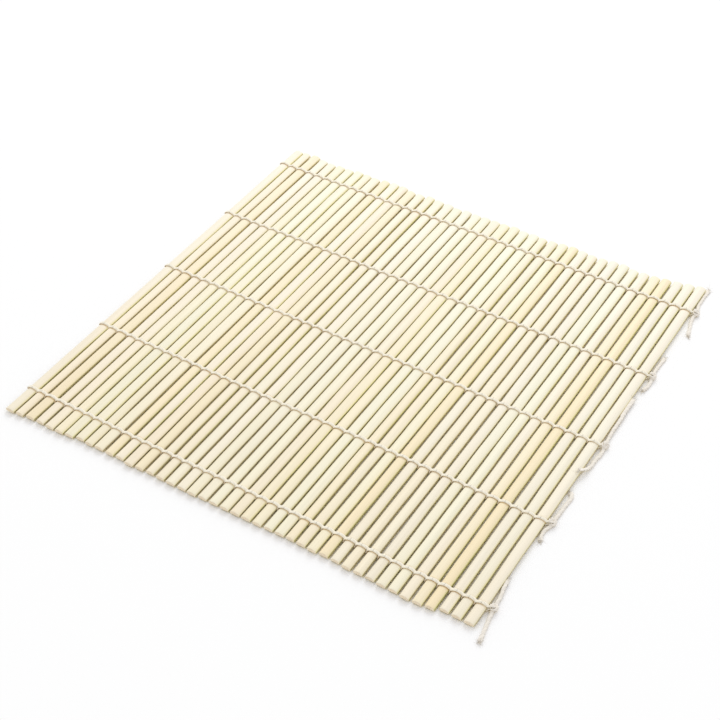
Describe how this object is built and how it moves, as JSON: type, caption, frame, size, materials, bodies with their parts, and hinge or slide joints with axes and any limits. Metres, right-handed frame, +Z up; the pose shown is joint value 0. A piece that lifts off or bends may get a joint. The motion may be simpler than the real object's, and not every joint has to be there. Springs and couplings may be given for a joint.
{
  "type": "sushi rolling mat",
  "caption": "Square flexible bamboo rolling mat: slim round-topped slats side by side, held by rows of twined cotton string knotted along one edge.",
  "frame": {"origin": "on the surface that the mat lies on, under the middle of the mat's box from the strings' folds to the knots", "axes": "+X across the slats towards the knotted edge, +Y along the slats, +Z up out of the slats' crowns"},
  "size_m": [0.2454, 0.2426, 0.0039],
  "materials": {
    "bamboo_pale": "smooth, unvarnished",
    "bamboo_warm": "smooth, unvarnished",
    "string": "twisted cotton",
    "knotted_string": "frayed cotton"
  },
  "bodies": {
    "knotted_edge": {"slat_43": "bamboo_pale", "string_row_1": "string", "string_row_2": "string", "string_row_3": "string", "string_row_4": "string", "string_row_5": "string", "knot_1": "knotted_string", "knot_2": "knotted_string", "knot_3": "knotted_string", "knot_4": "knotted_string", "knot_5": "knotted_string", "knot_tails_1": "knotted_string", "knot_tails_2": "knotted_string", "knot_tails_3": "knotted_string", "knot_tails_4": "knotted_string", "knot_tails_5": "knotted_string"},
    "link_01": {"slat_01": "bamboo_pale"},
    "link_02": {"slat_02": "bamboo_pale"},
    "link_03": {"slat_03": "bamboo_warm"},
    "link_04": {"slat_04": "bamboo_pale"},
    "link_05": {"slat_05": "bamboo_pale"},
    "link_06": {"slat_06": "bamboo_pale"},
    "link_07": {"slat_07": "bamboo_pale"},
    "link_08": {"slat_08": "bamboo_pale"},
    "link_09": {"slat_09": "bamboo_pale"},
    "link_10": {"slat_10": "bamboo_pale"},
    "link_11": {"slat_11": "bamboo_warm"},
    "link_12": {"slat_12": "bamboo_pale"},
    "link_13": {"slat_13": "bamboo_pale"},
    "link_14": {"slat_14": "bamboo_warm"},
    "link_15": {"slat_15": "bamboo_pale"},
    "link_16": {"slat_16": "bamboo_pale"},
    "link_17": {"slat_17": "bamboo_pale"},
    "link_18": {"slat_18": "bamboo_pale"},
    "link_19": {"slat_19": "bamboo_pale"},
    "link_20": {"slat_20": "bamboo_pale"},
    "link_21": {"slat_21": "bamboo_pale"},
    "link_22": {"slat_22": "bamboo_pale"},
    "link_23": {"slat_23": "bamboo_pale"},
    "link_24": {"slat_24": "bamboo_warm"},
    "link_25": {"slat_25": "bamboo_pale"},
    "link_26": {"slat_26": "bamboo_pale"},
    "link_27": {"slat_27": "bamboo_pale"},
    "link_28": {"slat_28": "bamboo_warm"},
    "link_29": {"slat_29": "bamboo_pale"},
    "link_30": {"slat_30": "bamboo_pale"},
    "link_31": {"slat_31": "bamboo_warm"},
    "link_32": {"slat_32": "bamboo_pale"},
    "link_33": {"slat_33": "bamboo_pale"},
    "link_34": {"slat_34": "bamboo_pale"},
    "link_35": {"slat_35": "bamboo_pale"},
    "link_36": {"slat_36": "bamboo_pale"},
    "link_37": {"slat_37": "bamboo_pale"},
    "link_38": {"slat_38": "bamboo_pale"},
    "link_39": {"slat_39": "bamboo_warm"},
    "link_40": {"slat_40": "bamboo_warm"},
    "link_41": {"slat_41": "bamboo_pale"},
    "link_42": {"slat_42": "bamboo_pale"}
  },
  "joints": [
    {"name": "bend_01_02", "type": "hinge", "parent": "link_02", "child": "link_01", "pos_m": [-0.11599, 0, 0.0019], "axis": [0, 1, 0], "range_deg": [-35.5, 50]},
    {"name": "bend_02_03", "type": "hinge", "parent": "link_03", "child": "link_02", "pos_m": [-0.11086, 0, 0.0019], "axis": [0, 1, 0], "range_deg": [-35.5, 50]},
    {"name": "bend_03_04", "type": "hinge", "parent": "link_04", "child": "link_03", "pos_m": [-0.10483, 0, 0.0019], "axis": [0, 1, 0], "range_deg": [-35.5, 48]},
    {"name": "bend_04_05", "type": "hinge", "parent": "link_05", "child": "link_04", "pos_m": [-0.09925, 0, 0.0019], "axis": [0, 1, 0], "range_deg": [-32.5, 42.5]},
    {"name": "bend_05_06", "type": "hinge", "parent": "link_06", "child": "link_05", "pos_m": [-0.09367, 0, 0.0019], "axis": [0, 1, 0], "range_deg": [-31.5, 39.5]},
    {"name": "bend_06_07", "type": "hinge", "parent": "link_07", "child": "link_06", "pos_m": [-0.08809, 0, 0.0019], "axis": [0, 1, 0], "range_deg": [-30.5, 37.5]},
    {"name": "bend_07_08", "type": "hinge", "parent": "link_08", "child": "link_07", "pos_m": [-0.08251, 0, 0.0019], "axis": [0, 1, 0], "range_deg": [-29.5, 35.5]},
    {"name": "bend_08_09", "type": "hinge", "parent": "link_09", "child": "link_08", "pos_m": [-0.07693, 0, 0.0019], "axis": [0, 1, 0], "range_deg": [-27.5, 32.5]},
    {"name": "bend_09_10", "type": "hinge", "parent": "link_10", "child": "link_09", "pos_m": [-0.0718, 0, 0.0019], "axis": [0, 1, 0], "range_deg": [-27.5, 32.5]},
    {"name": "bend_10_11", "type": "hinge", "parent": "link_11", "child": "link_10", "pos_m": [-0.06577, 0, 0.0019], "axis": [0, 1, 0], "range_deg": [-28, 32.5]},
    {"name": "bend_11_12", "type": "hinge", "parent": "link_12", "child": "link_11", "pos_m": [-0.06019, 0, 0.0019], "axis": [0, 1, 0], "range_deg": [-26.5, 30]},
    {"name": "bend_12_13", "type": "hinge", "parent": "link_13", "child": "link_12", "pos_m": [-0.05461, 0, 0.0019], "axis": [0, 1, 0], "range_deg": [-25.5, 29]},
    {"name": "bend_13_14", "type": "hinge", "parent": "link_14", "child": "link_13", "pos_m": [-0.04903, 0, 0.0019], "axis": [0, 1, 0], "range_deg": [-25, 28]},
    {"name": "bend_14_15", "type": "hinge", "parent": "link_15", "child": "link_14", "pos_m": [-0.04345, 0, 0.0019], "axis": [0, 1, 0], "range_deg": [-24.5, 27.5]},
    {"name": "bend_15_16", "type": "hinge", "parent": "link_16", "child": "link_15", "pos_m": [-0.03787, 0, 0.0019], "axis": [0, 1, 0], "range_deg": [-24, 26.5]},
    {"name": "bend_16_17", "type": "hinge", "parent": "link_17", "child": "link_16", "pos_m": [-0.03229, 0, 0.0019], "axis": [0, 1, 0], "range_deg": [-24.5, 27]},
    {"name": "bend_17_18", "type": "hinge", "parent": "link_18", "child": "link_17", "pos_m": [-0.02626, 0, 0.0019], "axis": [0, 1, 0], "range_deg": [-24, 26.5]},
    {"name": "bend_18_19", "type": "hinge", "parent": "link_19", "child": "link_18", "pos_m": [-0.02068, 0, 0.0019], "axis": [0, 1, 0], "range_deg": [-22.5, 24.5]},
    {"name": "bend_19_20", "type": "hinge", "parent": "link_20", "child": "link_19", "pos_m": [-0.0151, 0, 0.0019], "axis": [0, 1, 0], "range_deg": [-22, 24]},
    {"name": "bend_20_21", "type": "hinge", "parent": "link_21", "child": "link_20", "pos_m": [-0.00952, 0, 0.0019], "axis": [0, 1, 0], "range_deg": [-22, 23.5]},
    {"name": "bend_21_22", "type": "hinge", "parent": "link_22", "child": "link_21", "pos_m": [-0.00394, 0, 0.0019], "axis": [0, 1, 0], "range_deg": [-21.5, 23]},
    {"name": "bend_22_23", "type": "hinge", "parent": "link_23", "child": "link_22", "pos_m": [0.00164, 0, 0.0019], "axis": [0, 1, 0], "range_deg": [-21, 22.5]},
    {"name": "bend_23_24", "type": "hinge", "parent": "link_24", "child": "link_23", "pos_m": [0.00722, 0, 0.0019], "axis": [0, 1, 0], "range_deg": [-21, 22]},
    {"name": "bend_24_25", "type": "hinge", "parent": "link_25", "child": "link_24", "pos_m": [0.0128, 0, 0.0019], "axis": [0, 1, 0], "range_deg": [-20.5, 22]},
    {"name": "bend_25_26", "type": "hinge", "parent": "link_26", "child": "link_25", "pos_m": [0.01838, 0, 0.0019], "axis": [0, 1, 0], "range_deg": [-20, 21.5]},
    {"name": "bend_26_27", "type": "hinge", "parent": "link_27", "child": "link_26", "pos_m": [0.02396, 0, 0.0019], "axis": [0, 1, 0], "range_deg": [-20, 21]},
    {"name": "bend_27_28", "type": "hinge", "parent": "link_28", "child": "link_27", "pos_m": [0.02954, 0, 0.0019], "axis": [0, 1, 0], "range_deg": [-19, 20]},
    {"name": "bend_28_29", "type": "hinge", "parent": "link_29", "child": "link_28", "pos_m": [0.03467, 0, 0.0019], "axis": [0, 1, 0], "range_deg": [-18.5, 19.5]},
    {"name": "bend_29_30", "type": "hinge", "parent": "link_30", "child": "link_29", "pos_m": [0.04025, 0, 0.0019], "axis": [0, 1, 0], "range_deg": [-19, 20]},
    {"name": "bend_30_31", "type": "hinge", "parent": "link_31", "child": "link_30", "pos_m": [0.04583, 0, 0.0019], "axis": [0, 1, 0], "range_deg": [-19, 19.5]},
    {"name": "bend_31_32", "type": "hinge", "parent": "link_32", "child": "link_31", "pos_m": [0.05141, 0, 0.0019], "axis": [0, 1, 0], "range_deg": [-18.5, 19.5]},
    {"name": "bend_32_33", "type": "hinge", "parent": "link_33", "child": "link_32", "pos_m": [0.05699, 0, 0.0019], "axis": [0, 1, 0], "range_deg": [-18.5, 19]},
    {"name": "bend_33_34", "type": "hinge", "parent": "link_34", "child": "link_33", "pos_m": [0.06257, 0, 0.0019], "axis": [0, 1, 0], "range_deg": [-18, 19]},
    {"name": "bend_34_35", "type": "hinge", "parent": "link_35", "child": "link_34", "pos_m": [0.06815, 0, 0.0019], "axis": [0, 1, 0], "range_deg": [-18, 18.5]},
    {"name": "bend_35_36", "type": "hinge", "parent": "link_36", "child": "link_35", "pos_m": [0.07373, 0, 0.0019], "axis": [0, 1, 0], "range_deg": [-17.5, 18.5]},
    {"name": "bend_36_37", "type": "hinge", "parent": "link_37", "child": "link_36", "pos_m": [0.07931, 0, 0.0019], "axis": [0, 1, 0], "range_deg": [-17.5, 18]},
    {"name": "bend_37_38", "type": "hinge", "parent": "link_38", "child": "link_37", "pos_m": [0.08489, 0, 0.0019], "axis": [0, 1, 0], "range_deg": [-17.5, 18]},
    {"name": "bend_38_39", "type": "hinge", "parent": "link_39", "child": "link_38", "pos_m": [0.09047, 0, 0.0019], "axis": [0, 1, 0], "range_deg": [-17, 17.5]},
    {"name": "bend_39_40", "type": "hinge", "parent": "link_40", "child": "link_39", "pos_m": [0.09605, 0, 0.0019], "axis": [0, 1, 0], "range_deg": [-17, 17.5]},
    {"name": "bend_40_41", "type": "hinge", "parent": "link_41", "child": "link_40", "pos_m": [0.10163, 0, 0.0019], "axis": [0, 1, 0], "range_deg": [-17, 17.5]},
    {"name": "bend_41_42", "type": "hinge", "parent": "link_42", "child": "link_41", "pos_m": [0.10721, 0, 0.0019], "axis": [0, 1, 0], "range_deg": [-16.5, 17]},
    {"name": "bend_42_43", "type": "hinge", "parent": "knotted_edge", "child": "link_42", "pos_m": [0.11279, 0, 0.0019], "axis": [0, 1, 0], "range_deg": [-16.5, 17], "deforming": ["string_row_1", "string_row_2", "string_row_3", "string_row_4", "string_row_5"]}
  ]
}
